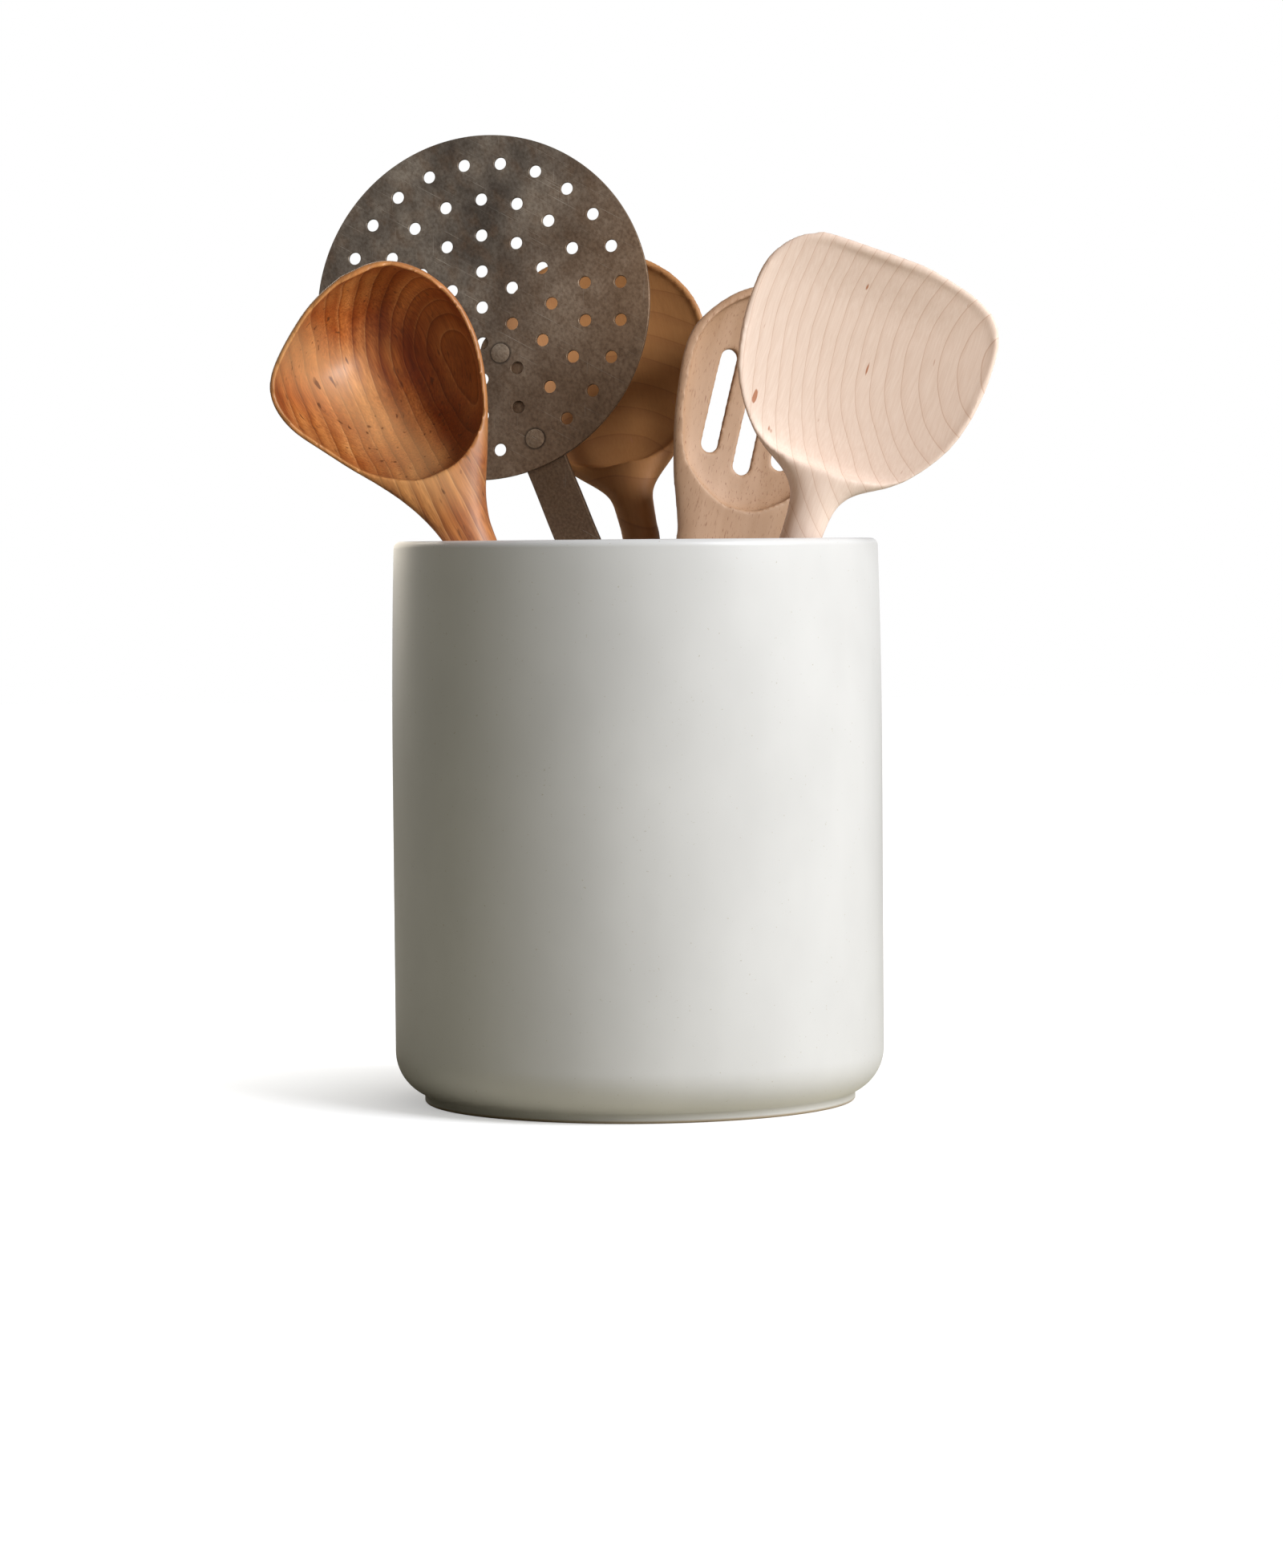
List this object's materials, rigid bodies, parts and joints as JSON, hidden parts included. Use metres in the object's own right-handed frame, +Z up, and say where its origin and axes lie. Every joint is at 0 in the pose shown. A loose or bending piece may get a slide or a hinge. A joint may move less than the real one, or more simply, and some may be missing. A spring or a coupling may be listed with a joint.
{
  "type": "utensil crock",
  "caption": "Straight-walled stoneware crock on a recessed foot, holding a ladle, a flat skimmer, a scoop, a wide spoon and a slotted spoon that each lift out.",
  "frame": {"origin": "centre of the foot ring, in the plane that the crock stands on", "axes": "+Z up along the crock's axis, -Y towards the side that the tools' hollows face, +X to the right as seen from that side"},
  "size_m": [0.2206, 0.1614, 0.305],
  "materials": {
    "glazed_stoneware": "satin off-white glaze, bare on the foot ring",
    "teak": "oiled teak with dark growth rings",
    "maple": "sanded bare maple",
    "beech": "sanded bare beech with short flecks",
    "iron_plate": "rolled iron sheet with a grey-brown patina and fine scratches",
    "iron_strap": "rolled iron strap, darker than the disc",
    "iron_rivet": "iron rivets, heads worn smooth"
  },
  "bodies": {
    "crock": {"crock": "glazed_stoneware"},
    "ladle": {"ladle": "teak"},
    "scoop": {"scoop": "maple"},
    "wide_spoon": {"wide_spoon": "maple"},
    "slotted_spoon": {"slotted_spoon": "beech"},
    "skimmer": {"skimmer_disc": "iron_plate", "skimmer_handle": "iron_strap", "skimmer_rivets": "iron_rivet"}
  },
  "joints": [
    {"name": "lift_ladle", "type": "slide", "parent": "crock", "child": "ladle", "axis": [-0.4175, -0.0728, 0.9058], "range_m": [0, 0.1893]},
    {"name": "lift_scoop", "type": "slide", "parent": "crock", "child": "scoop", "axis": [0.3357, 0.0245, 0.9416], "range_m": [0, 0.1823]},
    {"name": "lift_wide_spoon", "type": "slide", "parent": "crock", "child": "wide_spoon", "axis": [-0.2083, 0.1839, 0.9606], "range_m": [0, 0.1788]},
    {"name": "lift_slotted_spoon", "type": "slide", "parent": "crock", "child": "slotted_spoon", "axis": [0.24, 0.0957, 0.9661], "range_m": [0, 0.1778]},
    {"name": "lift_skimmer", "type": "slide", "parent": "crock", "child": "skimmer", "axis": [-0.3629, 0.2037, 0.9093], "range_m": [0, 0.1886]}
  ]
}
